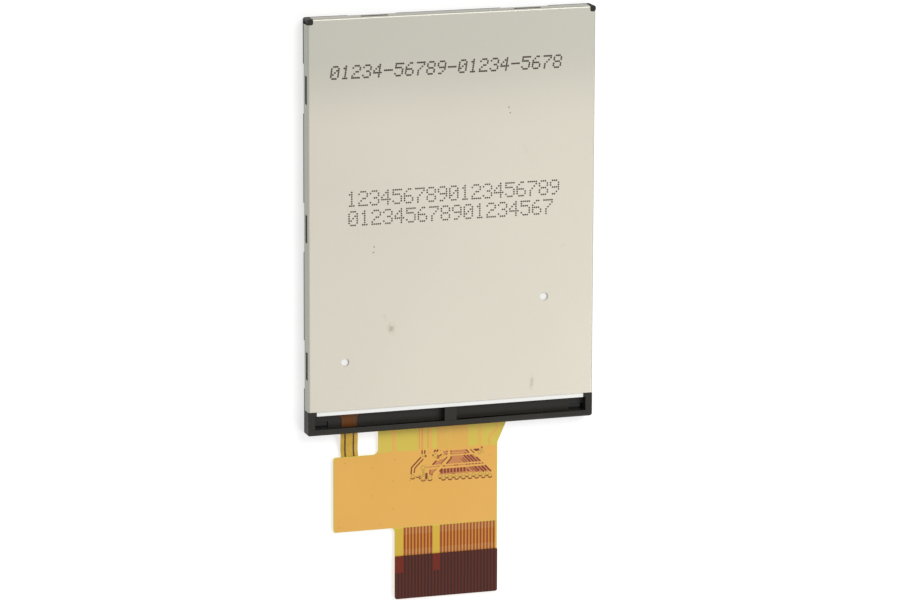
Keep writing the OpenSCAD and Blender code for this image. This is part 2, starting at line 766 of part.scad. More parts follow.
module capacitors() {
    color("#b79a6c") seat() for (reach = capacitor_reach, i = [0 : 3])
        chip_part(i, reach, capacitor_size);
}

module resistors() {
    color("#3a3a3e") seat() for (i = [0 : 2])
        chip_part(i, resistor_reach, resistor_size);
}

front_polarizer();
colour_filter_glass();
cell_seal();
tft_glass();
rear_polarizer();
driver_ic();
bond_films();
ledge_sealant();
rim_tape();
upper_prism_film();
lower_prism_film();
diffuser_film();
light_guide();
reflector_film();
led_tape();
leds();
led_flex();
led_flex_traces();
tail_solder();
moulded_frame();
rear_pan();
main_flex();
rear_copper();
contact_fingers();
flex_stiffener();
capacitors();
resistors();
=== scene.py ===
"""Looks of a TFT display module that lies on its display face: finishes, rounded edges and printed copper.

Lengths are in millimetres and become metres where a mesh is made. X runs across the module, Y up its
picture and Z out of its rear. The pieces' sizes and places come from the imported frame, and details are
placed from the module's bottom edge or from a piece's edge.
"""

import math

import bmesh
import bpy
from mathutils import Matrix, Vector

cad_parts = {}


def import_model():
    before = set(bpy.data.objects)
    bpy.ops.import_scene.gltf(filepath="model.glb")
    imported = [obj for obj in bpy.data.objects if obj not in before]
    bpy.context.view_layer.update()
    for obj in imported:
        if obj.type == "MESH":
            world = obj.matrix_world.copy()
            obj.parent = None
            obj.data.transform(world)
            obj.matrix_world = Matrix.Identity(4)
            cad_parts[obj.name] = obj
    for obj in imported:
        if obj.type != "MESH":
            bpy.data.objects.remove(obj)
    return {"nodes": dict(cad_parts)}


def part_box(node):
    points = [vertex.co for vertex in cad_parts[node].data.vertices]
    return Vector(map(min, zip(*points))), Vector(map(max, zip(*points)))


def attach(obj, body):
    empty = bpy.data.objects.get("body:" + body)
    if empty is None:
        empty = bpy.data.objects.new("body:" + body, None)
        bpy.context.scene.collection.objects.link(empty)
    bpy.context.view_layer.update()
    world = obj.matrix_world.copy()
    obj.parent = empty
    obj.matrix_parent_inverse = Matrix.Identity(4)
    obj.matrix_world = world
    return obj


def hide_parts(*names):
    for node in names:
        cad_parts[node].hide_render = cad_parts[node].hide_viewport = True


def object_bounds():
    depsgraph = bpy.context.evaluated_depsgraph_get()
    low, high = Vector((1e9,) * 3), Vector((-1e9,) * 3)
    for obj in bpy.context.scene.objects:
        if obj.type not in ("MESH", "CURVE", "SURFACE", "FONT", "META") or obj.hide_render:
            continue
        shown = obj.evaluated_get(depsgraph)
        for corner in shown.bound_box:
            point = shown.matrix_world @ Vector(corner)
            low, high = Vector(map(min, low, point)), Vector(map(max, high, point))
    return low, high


MM = 0.001
MERGE = 0.0005 * MM
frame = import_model()
cad_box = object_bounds()


def span(node):
    """Lowest and highest corner of a CAD node, in millimetres."""
    low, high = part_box(node)
    return low / MM, high / MM


BOTTOM = span("moulded_frame")[0].y
PAN_HIGH = span("rear_pan")[1]
FLEX_LOW, FLEX_HIGH = span("main_flex")
COPPER_TOP = span("rear_copper")[1].y
STIFF_LOW, STIFF_HIGH = span("flex_stiffener")
FINGER_TOP = span("contact_fingers")[1].y
POLARIZER_TOP = span("front_polarizer")[1].y
BOND_LOW, BOND_HIGH = span("bond_films")
TAIL_X0, TAIL_X1 = STIFF_LOW.x, STIFF_HIGH.x
CONTACTS = 30
IDLE = (0, 1, 11, 12)
PITCH = (TAIL_X1 - TAIL_X0) / (CONTACTS + 1)
WING_BOTTOM = BOTTOM - 14.9
BARE_TOP = STIFF_LOW.y + 4.0
PICTURE = (36.72, 48.96)
PICTURE_INSET = 1.6
CHIP_PITCH = 1.9
CHIP_LEFT, CHIP_RIGHT = FLEX_LOW.x + 0.86, FLEX_LOW.x + 1.64


def finger_x(number):
    """Middle of a contact, counted from the left."""
    return TAIL_X0 + PITCH * (number + 1)


def tone(red, green, blue):
    """A colour given as it shows, from 0 to 255, in Blender's linear numbers."""
    return tuple(((c / 255 + 0.055) / 1.055) ** 2.4 if c > 10 else c / 255 / 12.92
                 for c in (red, green, blue)) + (1.0,)


# ---------------------------------------------------------------- materials


class Surface:
    """One procedural material. Its coordinates are the part's own, in millimetres."""

    def __init__(self, name):
        self.material = bpy.data.materials.new(name)
        self.material.use_nodes = True
        self.tree = self.material.node_tree
        self.shader = self.tree.nodes["Principled BSDF"]
        place = self.tree.nodes.new("ShaderNodeTexCoord").outputs["Object"]
        self.mm = self.vector("SCALE", place, scale=1 / MM)
        parts = self.tree.nodes.new("ShaderNodeSeparateXYZ")
        self.link(self.mm, parts.inputs[0])
        self.x, self.y, self.z = parts.outputs

    def link(self, value, socket):
        if isinstance(value, bpy.types.NodeSocket):
            self.tree.links.new(value, socket)
        else:
            socket.default_value = value

    def vector(self, operation, a, b=None, scale=None):
        node = self.tree.nodes.new("ShaderNodeVectorMath")
        node.operation = operation
        self.link(a, node.inputs[0])
        if b is not None:
            self.link(b, node.inputs[1])
        if scale is not None:
            self.link(scale, node.inputs["Scale"])
        return node.outputs[0]

    def math(self, operation, a, b=0.0, clamp=False):
        node = self.tree.nodes.new("ShaderNodeMath")
        node.operation = operation
        node.use_clamp = clamp
        self.link(a, node.inputs[0])
        self.link(b, node.inputs[1])
        return node.outputs[0]

    def step(self, value, low, high):
        """0 below low and 1 above high, smooth between them."""
        node = self.tree.nodes.new("ShaderNodeMapRange")
        node.interpolation_type = "SMOOTHSTEP"
        for socket, number in zip(node.inputs, (value, low, high, 0.0, 1.0)):
            self.link(number, socket)
        return node.outputs[0]

    def band(self, value, low, high, soft=0.05):
        """1 between low and high."""
        rise = self.step(value, low - soft, low + soft)
        fall = self.step(value, high - soft, high + soft)
        return self.math("SUBTRACT", rise, fall, clamp=True)

    def stripes(self, value, first, pitch, width, soft=0.04):
        """1 on stripes of that width that repeat from the first stripe's middle."""
        phase = self.math("DIVIDE", self.math("SUBTRACT", value, first - pitch / 2), pitch)
        off = self.math("ABSOLUTE", self.math("SUBTRACT", self.math("FRACT", phase), 0.5))
        edge = width / pitch / 2
        return self.math("SUBTRACT", 1.0, self.step(off, edge - soft / pitch, edge + soft / pitch))

    def spot(self, x, y, rx, ry, soft=1.0):
        """1 in the middle of an ellipse, 0 outside it."""
        across = self.math("DIVIDE", self.math("SUBTRACT", self.x, x), rx)
        up = self.math("DIVIDE", self.math("SUBTRACT", self.y, y), ry)
        square = self.math("ADD", self.math("MULTIPLY", across, across), self.math("MULTIPLY", up, up))
        return self.math("SUBTRACT", 1.0, self.step(self.math("SQRT", square), 1.0 - soft, 1.0))

    def noise(self, scale, detail=2.0, stretch=(1, 1, 1), seed=0.0):
        """Noise from about 0 to 1, with that many features a millimetre."""
        node = self.tree.nodes.new("ShaderNodeTexNoise")
        node.noise_dimensions = "4D"
        self.link(self.vector("MULTIPLY", self.mm, stretch), node.inputs["Vector"])
        node.inputs["W"].default_value = seed
        node.inputs["Scale"].default_value = scale
        node.inputs["Detail"].default_value = detail
        return node.outputs["Fac"]

    def mix(self, amount, a, b):
        node = self.tree.nodes.new("ShaderNodeMix")
        node.data_type = "RGBA"
        self.link(amount, node.inputs[0])
        self.link(a, node.inputs[6])
        self.link(b, node.inputs[7])
        return node.outputs[2]

    def between(self, amount, low, high):
        """A number that goes from low to high as amount goes from 0 to 1."""
        return self.math("ADD", self.math("MULTIPLY", amount, high - low), low)

    def bump(self, height, depth):
        """Bumps of that depth in millimetres where height goes from 0 to 1."""
        node = self.tree.nodes.new("ShaderNodeBump")
        node.inputs["Distance"].default_value = depth * MM
        self.link(height, node.inputs["Height"])
        self.link(node.outputs[0], self.shader.inputs["Normal"])

    def done(self, colour, roughness, **sockets):
        self.link(colour, self.shader.inputs["Base Color"])
        self.link(roughness, self.shader.inputs["Roughness"])
        for name, value in sockets.items():
            self.link(value, self.shader.inputs[name.replace("_", " ")])
        return self.material


def steel_sheet():
    s = Surface("steel_sheet")
    cloud = s.noise(0.05, 3)
    grain = s.noise(9, 2, (1, 0.35, 1))
    colour = s.mix(cloud, tone(179, 174, 162), tone(186, 181, 169))
    colour = s.mix(s.math("MULTIPLY", grain, 0.25), colour, tone(168, 164, 152))
    # Painted shade: the steel is made darker towards its top edge, where the sheet's reflection of its
    # surroundings is darker.
    painted_top_shade = s.step(s.y, PAN_HIGH.y - 17, PAN_HIGH.y - 5)
    colour = s.mix(s.math("MULTIPLY", painted_top_shade, 0.8), colour, tone(163, 162, 152))
    # X, Y, half width, half height and strength
    smudges = ((-9.0, BOTTOM + 15.0, 0.9, 1.3, 0.55), (-10.0, BOTTOM + 16.6, 0.5, 0.8, 0.25),
               (12.0, BOTTOM + 5.6, 0.6, 1.7, 0.55), (11.0, BOTTOM + 39.8, 0.6, 1.0, 0.25),
               (-14.0, BOTTOM + 29.0, 0.3, 1.2, 0.15), (16.5, BOTTOM + 25.5, 0.9, 0.6, 0.12))
    for x, y, rx, ry, strength in smudges:
        patch = s.math("MULTIPLY", s.spot(x, y, rx, ry), s.step(s.noise(1.4, 3, seed=x), 0.35, 0.7))
        colour = s.mix(s.math("MULTIPLY", patch, strength), colour, tone(120, 114, 92))
    # Painted shade: both side walls of the pan are given a darker grey-green, standing for the shade that the
    # light leaves on them.
    painted_wall_shade = s.step(s.math("ABSOLUTE", s.x), PAN_HIGH.x - 0.22, PAN_HIGH.x - 0.03)
    colour = s.mix(painted_wall_shade, colour, tone(166, 168, 158))
    for x, y in ((-11.6, BOTTOM + 27.0), (-11.7, BOTTOM + 26.2), (8.4, BOTTOM + 46.0), (8.6, BOTTOM + 45.2)):
        colour = s.mix(s.math("MULTIPLY", s.spot(x, y, 0.16, 0.16, 0.6), 0.7), colour, tone(96, 82, 60))
    s.bump(s.math("ADD", grain, s.math("MULTIPLY", cloud, 2.0)), 0.003)
    return s.done(colour, s.between(grain, 0.36, 0.5), Metallic=0.9)


def black_moulding():
    s = Surface("black_moulding")
    cloud = s.noise(0.3, 3)
    fine = s.noise(14, 3)
    colour = s.mix(cloud, tone(33, 31, 27), tone(40, 38, 33))
    s.bump(fine, 0.006)
    return s.done(colour, s.between(fine, 0.42, 0.58), Specular_IOR_Level=0.2)


def white_reflector():
    s = Surface("white_reflector")
    cloud = s.noise(0.5, 2)
    s.bump(s.noise(5, 2), 0.002)
    return s.done(s.mix(cloud, tone(238, 238, 235), tone(246, 246, 243)), s.between(cloud, 0.3, 0.42))


def amber_film():
    """The LED flex: dark where the black recess lies behind it, amber outside the frame."""
    s = Surface("amber_film")
    cloud = s.noise(1.2, 2)
    outside = s.mix(cloud, tone(196, 158, 58), tone(206, 170, 68))
    inside = s.mix(cloud, tone(98, 52, 12), tone(112, 64, 20))
    colour = s.mix(s.step(s.y, BOTTOM - 0.2, BOTTOM + 0.2), outside, inside)
    s.bump(s.noise(4, 2), 0.002)
    return s.done(colour, s.between(cloud, 0.28, 0.36), Specular_IOR_Level=0.15)


def dark_line():
    s = Surface("covered_copper_line")
    cloud = s.noise(3, 2)
    return s.done(s.mix(cloud, tone(76, 44, 14), tone(98, 60, 20)), s.between(cloud, 0.3, 0.4),
                  Specular_IOR_Level=0.25)


def idle_places(s):
    """1 over the contacts that end low on the tail."""
    left = s.band(s.x, TAIL_X0 - 1, finger_x(1.5), 0.04)
    return s.math("ADD", left, s.band(s.x, finger_x(10.5), finger_x(12.5), 0.04))


def yellow_film():
    """The printed flex's film, with the front side's copper showing through it above the stiffener."""
    s = Surface("yellow_film")
    cloud = s.noise(0.35, 3)
    film = s.mix(cloud, tone(212, 188, 76), tone(220, 196, 86))
    film = s.mix(s.step(s.y, WING_BOTTOM - 0.3, WING_BOTTOM), tone(212, 178, 58), film)
    idle = idle_places(s)
    used = s.math("SUBTRACT", s.band(s.x, finger_x(1.5), finger_x(29.5), 0.04), idle, clamp=True)
    tail = s.band(s.y, STIFF_HIGH.y - 0.2, WING_BOTTOM - 0.05, 0.03)
    middle = s.band(s.y, STIFF_HIGH.y + 0.95, WING_BOTTOM - 1.1, 0.1)
    between = s.mix(middle, tone(208, 146, 68), tone(206, 136, 40))
    lines = s.mix(middle, tone(150, 76, 36), tone(142, 58, 14))
    copper = s.mix(s.stripes(s.x, finger_x(0), PITCH, 0.27), between, lines)
    colour = s.mix(s.math("MULTIPLY", used, tail), film, copper)
    s.bump(s.noise(2, 2), 0.003)
    return s.done(colour, s.between(cloud, 0.26, 0.34), Specular_IOR_Level=0.25)


def covered_copper():
    s = Surface("covered_copper")
    cloud = s.noise(0.12, 3)
    mottle = s.noise(1.1, 3)
    colour = s.mix(cloud, tone(230, 173, 80), tone(238, 181, 90))
    colour = s.mix(s.math("MULTIPLY", mottle, 0.3), colour, tone(208, 168, 76))
    for x, y in DIMPLES:
        dimple = s.math("MULTIPLY", s.spot(x, BOTTOM + y, 0.11, 0.11, 0.7), 0.7)
        colour = s.mix(dimple, colour, tone(150, 96, 52))
    s.bump(mottle, 0.006)
    return s.done(colour, s.between(mottle, 0.26, 0.36), Specular_IOR_Level=0.3)


def print_tone(name, dark, light):
    """One printed tone of the flex's rear."""
    s = Surface(name)
    cloud = s.noise(2.5, 2)
    return s.done(s.mix(cloud, dark, light), s.between(cloud, 0.3, 0.4), Specular_IOR_Level=0.25)


def dark_amber_film():
    """The stiffener, with the contacts' copper faintly showing through it."""
    s = Surface("dark_amber_film")
    cloud = s.noise(0.5, 3)
    colour = s.mix(cloud, tone(90, 40, 31), tone(98, 46, 36))
    idle = idle_places(s)
    short = s.math("MULTIPLY", idle, s.step(s.y, BARE_TOP - 0.15, BARE_TOP - 0.05), clamp=True)
    lines = s.math("SUBTRACT", s.stripes(s.x, finger_x(0), PITCH, 0.3), short, clamp=True)
    colour = s.mix(lines, colour, tone(64, 35, 30))
    colour = s.mix(short, colour, tone(114, 42, 30))
    s.bump(s.math("ADD", lines, s.noise(3, 2)), 0.003)
    return s.done(colour, s.between(cloud, 0.34, 0.42), Specular_IOR_Level=0.1)


def gold_contact():
    """Bare gold at the tail's end, and the same copper under the cover film above it."""
    s = Surface("gold_contact")
    cloud = s.noise(2, 3, (1, 0.2, 1))
    bare = s.math("SUBTRACT", 1.0, s.step(s.y, BARE_TOP - 0.05, BARE_TOP + 0.05))
    gold = s.mix(cloud, tone(226, 188, 104), tone(210, 168, 80))
    covered = s.mix(cloud, tone(206, 146, 58), tone(216, 158, 70))
    s.bump(s.noise(3, 2, (1, 0.2, 1)), 0.001)
    return s.done(s.mix(bare, covered, gold), s.between(cloud, 0.22, 0.34), Metallic=bare)


def front_copper():
    s = Surface("front_copper")
    cloud = s.noise(0.6, 2)
    return s.done(s.mix(cloud, tone(204, 146, 58), tone(216, 160, 72)), s.between(cloud, 0.26, 0.36),
                  Specular_IOR_Level=0.25)


def chip_part(name, dark, light):
    """A ceramic chip part with tinned ends. All of them stand in columns of one pitch."""
    s = Surface(name)
    cloud = s.noise(2.5, 3)
    left, right = (s.stripes(s.x, first, CHIP_PITCH, 0.24, 0.02) for first in (CHIP_LEFT, CHIP_RIGHT))
    ends = s.math("ADD", left, right, clamp=True)
    body = s.mix(cloud, dark, light)
    tin = s.mix(cloud, tone(186, 188, 190), tone(208, 210, 212))
    s.bump(cloud, 0.004)
    return s.done(s.mix(ends, body, tin), s.between(cloud, 0.34, 0.48), Metallic=ends)


def silicon():
    s = Surface("silicon")
    cloud = s.noise(0.4, 2)
    colour = s.mix(cloud, tone(46, 48, 56), tone(58, 60, 68))
    return s.done(colour, s.between(cloud, 0.16, 0.24), Metallic=0.3)


def solder():
    s = Surface("solder")
    cloud = s.noise(4, 3)
    s.bump(cloud, 0.01)
    colour = s.mix(cloud, tone(190, 192, 196), tone(214, 216, 218))
    return s.done(colour, s.between(cloud, 0.2, 0.4), Metallic=1.0)


def polarizer():
    """The display face when it is off: the picture area shows a shade lighter than the black border."""
    s = Surface("polarizer")
    top = POLARIZER_TOP - PICTURE_INSET
    half = PICTURE[0] / 2
    picture = s.math("MULTIPLY", s.band(s.x, -half, half, 0.03), s.band(s.y, top - PICTURE[1], top, 0.03))
    cloud = s.noise(0.05, 2)
    border = s.mix(cloud, tone(11, 11, 13), tone(15, 15, 17))
    field = s.mix(cloud, tone(24, 25, 30), tone(30, 31, 37))
    colour = s.mix(picture, border, field)
    fine = s.noise(8, 2)
    s.bump(fine, 0.0005)
    return s.done(colour, s.between(fine, 0.2, 0.26), Specular_IOR_Level=0.35)


def panel_glass(name, dark, light):
    s = Surface(name)
    cloud = s.noise(0.3, 2)
    return s.done(s.mix(cloud, dark, light), s.between(cloud, 0.05, 0.1), Specular_IOR_Level=0.3)


def plain_film(name, dark, light, roughness):
    s = Surface(name)
    cloud = s.noise(1.0, 2)
    s.bump(s.noise(6, 2), 0.001)
    return s.done(s.mix(cloud, dark, light), s.between(cloud, roughness - 0.04, roughness + 0.04))


def ink():
    s = Surface("ink")
    cloud = s.noise(3, 2)
    colour = s.mix(cloud, tone(62, 50, 45), tone(88, 76, 70))
    return s.done(colour, s.between(cloud, 0.5, 0.7), Specular_IOR_Level=0.2)


# ---------------------------------------------------------------- mesh helpers


def show(name, mesh, materials, slot, *nodes):
    """Puts a mesh on the body in place of some CAD nodes."""
    piece = bpy.data.objects.new(name, mesh)
    bpy.context.scene.collection.objects.link(piece)
    for material in materials:
        mesh.materials.append(material)
    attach(piece, "root")
    if nodes:
        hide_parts(*nodes)
    return piece


def smooth_faces(piece, angle=35.0):
    """Smooth shading over small angles, with large faces kept flat."""
    mesh = piece.data
    mesh.polygons.foreach_set("use_smooth", [True] * len(mesh.polygons))
    mesh.set_sharp_from_angle(angle=math.radians(angle))
    weights = piece.modifiers.new("flat_faces", "WEIGHTED_NORMAL")
    weights.keep_sharp = True


def crowded(edge, width):
    """True where a bevel of that width would run past a short neighbouring edge."""
    near = [n for vertex in edge.verts for n in vertex.link_edges if n is not edge]
    return any(n.calc_length() < 2.2 * width * MM for n in near)


def rounded(node, material, slot, width, sink=0.0):
    """A copy of a CAD node with its sharp edges rounded, which stands for it. Its top is lower by sink."""
    low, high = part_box(node)
    high = high - Vector((0, 0, sink * MM))
    body = bmesh.new()
    body.from_mesh(frame["nodes"][node].data)
    bmesh.ops.remove_doubles(body, verts=body.verts, dist=MERGE)
    bmesh.ops.dissolve_limit(body, angle_limit=math.radians(0.5), verts=body.verts, edges=body.edges)
    sharp = [e for e in body.edges if e.is_manifold and e.calc_face_angle(0.0) > math.radians(30)]
    sharp = [e for e in sharp if not crowded(e, width)]
    bmesh.ops.bevel(body, geom=sharp, offset=width * MM, offset_type="OFFSET", segments=2,
                    profile=0.5, affect="EDGES", clamp_overlap=False)
    for vertex in body.verts:
        vertex.co = [min(max(c, a), b) for c, a, b in zip(vertex.co, low, high)]
    bmesh.ops.dissolve_degenerate(body, dist=MERGE, edges=body.edges)
    mesh = bpy.data.meshes.new(node + "_looks")
    body.to_mesh(mesh)
    body.free()
    piece = show(node + "_looks", mesh, [material], slot, node)
    smooth_faces(piece)
    return piece


class Plates:
    """Thin flat shapes gathered in one mesh. Each shape is a prism between two heights."""

    def __init__(self):
        self.body = bmesh.new()

    def prism(self, outline, z0, z1, material=0):
        low = [self.body.verts.new((x * MM, y * MM, z0 * MM)) for x, y in outline]
        high = [self.body.verts.new((x * MM, y * MM, z1 * MM)) for x, y in outline]
        faces = [self.body.faces.new(high), self.body.faces.new(low[::-1])]
        for i in range(len(outline)):
            j = (i + 1) % len(outline)
            faces.append(self.body.faces.new((low[i], low[j], high[j], high[i])))
        for face in faces:
            face.material_index = material

    def strip(self, points, width, z0, z1, material=0):
        """A flat line of that width through points, with mitred bends."""
        points = [Vector(p) for p in points]
        ways = [(b - a).normalized() for a, b in zip(points, points[1:])]
        left, right = [], []
        for i, point in enumerate(points):
            before, after = ways[max(i - 1, 0)], ways[min(i, len(ways) - 1)]
            side = Vector((-before.y - after.y, before.x + after.x)).normalized()
            reach = width / 2 / max(side.dot(Vector((-before.y, before.x))), 0.4)
            left.append(point + side * reach)
            right.append(point - side * reach)
        self.prism(right + left[::-1], z0, z1, material)

    def disc(self, x, y, radius, z0, z1, material=0, sides=16):
        turn = 2 * math.pi / sides
        self.prism([(x + radius * math.cos(i * turn), y + radius * math.sin(i * turn)) for i in range(sides)],
                   z0, z1, material)

    def ring(self, x, y, inner, outer, z0, z1, material=0, start=0.0, end=360.0, sides=20):
        """A ring, or an arc of one with closed ends."""
        whole = end - start == 360
        profile = ((inner, z0), (outer, z0), (outer, z1), (inner, z1))
        loops = []
        for i in range(sides if whole else sides + 1):
            turn = math.radians(start + (end - start) * i / sides)
            places = [(x + r * math.cos(turn), y + r * math.sin(turn), z) for r, z in profile]
            loops.append([self.body.verts.new(Vector(place) * MM) for place in places])
        faces = []
        for a, b in zip(loops, loops[1:] + loops[:1] if whole else loops[1:]):
            faces += [self.body.faces.new((a[i], a[i - 3], b[i - 3], b[i])) for i in range(4)]
        if not whole:
            faces += [self.body.faces.new(loops[0][::-1]), self.body.faces.new(loops[-1])]
        for face in faces:
            face.material_index = material

    def mesh(self, name):
        bmesh.ops.recalc_face_normals(self.body, faces=self.body.faces)
        made = bpy.data.meshes.new(name)
        self.body.to_mesh(made)
        self.body.free()
        return made


# ---------------------------------------------------------------- printed rows on the pan

INK_T = 0.002
DIGITS = {
    "0": ("01110", "10001", "10011", "10101", "11001", "10001", "01110"),
    "1": ("00100", "01100", "00100", "00100", "00100", "00100", "01110"),
    "2": ("01110", "10001", "00001", "00110", "01000", "10000", "11111"),
    "3": ("01110", "10001", "00001", "00110", "00001", "10001", "01110"),
    "4": ("00010", "00110", "01010", "10010", "11111", "00010", "00010"),
    "5": ("11111", "10000", "11110", "00001", "00001", "10001", "01110"),
    "6": ("00110", "01000", "10000", "11110", "10001", "10001", "01110"),
    "7": ("11111", "00001", "00010", "00100", "01000", "01000", "01000"),
    "8": ("01110", "10001", "10001", "01110", "10001", "10001", "01110"),
    "9": ("01110", "10001", "10001", "01111", "00001", "00010", "01100"),
    "-": ("00000", "00000", "00000", "11111", "00000", "00000", "00000"),
}


def dotted_row(plates, text, x0, y0, step, height, dot, lean=0.0):
    """A row of counting digits printed in dots, from its lower left corner."""
    down = height / 6
    across = down * 0.92
    top = PAN_HIGH.z
    for place, character in enumerate(text):
        for row, bits in enumerate(DIGITS[character]):
            for column, bit in enumerate(bits):
                if bit == "1":
                    plates.disc(x0 + place * step + column * across + (6 - row) * down * lean,
                                y0 + height - row * down, dot, top - 2 * INK_T, top, sides=8)


def printed_rows():
    plates = Plates()
    dotted_row(plates, "01234-56789-01234-5678", -18.0, BOTTOM + 51.4, 1.57, 1.7, 0.15, 0.15)
    dotted_row(plates, "1234567890123456789", -15.5, BOTTOM + 33.1, 1.68, 1.95, 0.135)
    dotted_row(plates, "012345678901234567", -15.3, BOTTOM + 30.3, 1.71, 1.95, 0.135)
    return show("printed_rows", plates.mesh("printed_rows"), [ink()], "black_tape")


# ---------------------------------------------------------------- rear copper of the flex
# Heights here count from the module's bottom edge, below which the flex hangs, so they are negative.

DIMPLES = ((-15.4, -4.75), (-11.35, -5.75), (-8.0, -4.75), (-8.2, -7.9), (-11.5, -9.85), (-8.2, -12.0),
           (-16.3, -14.2), (-10.15, -14.2), (-5.65, -8.0), (-2.7, -4.1), (6.4, -5.15))
COPPER, GAP, RING, FIELD = range(4)
COPPER_T, FIELD_T, GAP_T, TOP_T = 0.01, 0.0125, 0.015, 0.0175
LIFT = 0.0004
GAP_SPREAD = 1.35


class RearPrint(Plates):
    """Plates that lie on the flex's rear. Each top differs a little from the last, so none lie level."""

    count = 0

    def top(self, height):
        self.count += 1
        return FLEX_HIGH.z + height + self.count % 5 * LIFT

    def lay(self, outline, height, material):
        self.prism([(x, BOTTOM + y) for x, y in outline], FLEX_HIGH.z, self.top(height), material)

    def line(self, points, width, height=GAP_T, material=GAP):
        """A line. The dark gaps are spread a little, as they look narrower than they are."""
        width *= GAP_SPREAD if material == GAP else 1.0
        self.strip([(x, BOTTOM + y) for x, y in points], width, FLEX_HIGH.z, self.top(height), material)

    def loop(self, x, y, radius, width=0.13):
        """A pale ring round a via."""
        self.ring(x, BOTTOM + y, radius - width, radius, FLEX_HIGH.z, self.top(FIELD_T), RING)

    def smile(self, x, y, radius, width=0.14, start=215.0, end=325.0):
        """A dark arc under a via."""
        self.ring(x, BOTTOM + y, radius, radius + width, FLEX_HIGH.z, self.top(GAP_T), GAP, start, end, 8)


def bay(x0, x1, bottom, top, radius):
    """Edge of a bay that is open at the top, from its right side round to its left side."""
    points = [(x1, top)]
    for middle, start in ((x1 - radius, 0), (x0 + radius, -90)):
        for i in range(6):
            turn = math.radians(start - 18 * i)
            points.append((middle + radius * math.cos(turn), bottom + radius + radius * math.sin(turn)))
    points.append((x0, top))
    return points


def copper_fill(plates):
    """The copper fill of the wing, with the wide traces that run up the neck between bays of bare film."""
    left, right = FLEX_LOW.x + 0.16, TAIL_X1 - 0.17
    low, edge, floor_y = -14.85, -3.95, -3.62
    top = COPPER_TOP - BOTTOM
    outline = [(left + 0.35, low), (right, low), (right, edge + 0.2), (5.4, floor_y - 0.02)]
    outline += bay(5.1, 6.0, floor_y, top, 0.3)[-6:]
    for x0, x1 in ((-2.43, 4.72), (-3.47, -3.02), (-7.8, -4.32)):
        outline += bay(x0, x1, floor_y, top, min(0.4, (x1 - x0) / 3))
    outline += bay(-9.9, -8.3, floor_y, top, 0.4)[:7]
    outline += [(-10.3, floor_y), (-10.8, -3.75), (-11.3, edge), (left + 0.35, edge), (left, edge - 0.35),
                (left, low + 0.35)]
    plates.lay(outline, COPPER_T - 0.002, COPPER)


def neck_traces(plates):
    """Narrow traces of the neck: the fine bundle and the slanted one."""
    top = COPPER_TOP - BOTTOM
    x = -1.52
    while x < 3.2:
        if not -0.1 < x < 0.55:
            plates.line([(x, -4.02), (x, top)], 0.15, COPPER_T, COPPER)
        x += 0.19
    plates.line([(7.62, top), (7.6, -0.5), (7.5, -1.2), (6.3, -2.6), (6.4, -3.7)], 0.3, COPPER_T, COPPER)
    plates.line([(-3.85, -3.62), (-3.85, top)], 0.09, FIELD_T, FIELD)
    plates.line([(-4.27, -3.4), (-4.27, top)], 0.05, FIELD_T, FIELD)
    plates.line([(-2.97, -3.4), (-2.97, top)], 0.05, FIELD_T, FIELD)


def left_pairs(plates):
    """The pair of traces at the left that turns outwards to a via, and the vias beside it."""
    for x in (-3.85, -3.44):
        plates.line([(x, -3.68), (x, -4.2)], 0.15)
    plates.line([(-3.36, -4.4), (-3.25, -4.72)], 0.17)
    plates.line([(-4.0, -4.67), (-5.44, -6.12), (-5.5, -7.1)], 0.15)
    plates.line([(-3.66, -4.97), (-4.92, -6.22), (-5.06, -6.95)], 0.13)
    for x, y, radius in ((-3.62, -4.45, 0.3), (-5.25, -7.42, 0.3), (-3.69, -6.27, 0.36), (-4.2, -7.5, 0.28),
                         (-3.65, -7.8, 0.34), (-2.62, -7.85, 0.34), (-1.85, -4.6, 0.34)):
        plates.loop(x, y, radius)
    plates.line([(-3.65, -6.6), (-3.62, -7.5)], 0.34, GAP_T, RING)
    for x, y in ((-5.25, -7.42), (-3.65, -7.84), (-2.65, -7.86), (-4.45, -7.25)):
        plates.smile(x, y, 0.34)
    plates.line([(-4.25, -7.76), (-4.08, -7.92)], 0.15)
    plates.line([(-3.19, -7.08), (-3.19, -8.0)], 0.25)


def upper_left_vias(plates):
    plates.line([(-1.81, -3.75), (-2.04, -4.08)], 0.17)
    plates.line([(-1.42, -3.75), (-1.66, -4.06)], 0.17)
    plates.line([(-1.02, -3.82), (-1.03, -4.02)], 0.12, FIELD_T, FIELD)
    plates.line([(-2.22, -4.4), (-2.2, -4.66)], 0.13)
    plates.line([(-1.58, -4.72), (-1.18, -4.7), (-0.88, -4.46)], 0.15)
    plates.line([(-1.62, -5.0), (-1.26, -4.98)], 0.15)
    plates.line([(-0.5, -4.5), (-0.92, -4.98)], 0.1, FIELD_T, FIELD)


def fields(plates):
    """Places where dense traces on the other side show through as a lighter tone."""
    plates.lay([(-1.25, -5.3), (-0.1, -5.0), (-1.05, -5.98), (-2.2, -5.98)], FIELD_T, FIELD)
    plates.lay([(-0.75, -4.02), (-0.12, -4.02), (-0.12, -4.66), (-0.45, -4.66)], FIELD_T, FIELD)
    plates.lay([(-2.72, -6.62), (-1.62, -6.62), (-2.42, -7.42), (-2.72, -7.42)], FIELD_T, FIELD)
    plates.lay([(0.5, -4.02), (2.72, -4.02), (3.2, -4.64), (0.5, -4.64)], FIELD_T, FIELD)
    plates.lay([(0.52, -4.84), (3.9, -4.84), (5.0, -5.98), (-0.16, -5.98), (0.52, -5.2)], FIELD_T, FIELD)
    plates.lay([(-0.95, -6.62), (5.55, -6.62), (6.45, -7.5), (-1.2, -7.5), (-1.2, -6.95)], FIELD_T, FIELD)
    plates.lay([(-3.3, -6.18), (5.2, -6.18), (5.35, -6.32), (-3.3, -6.32)], FIELD_T, FIELD)


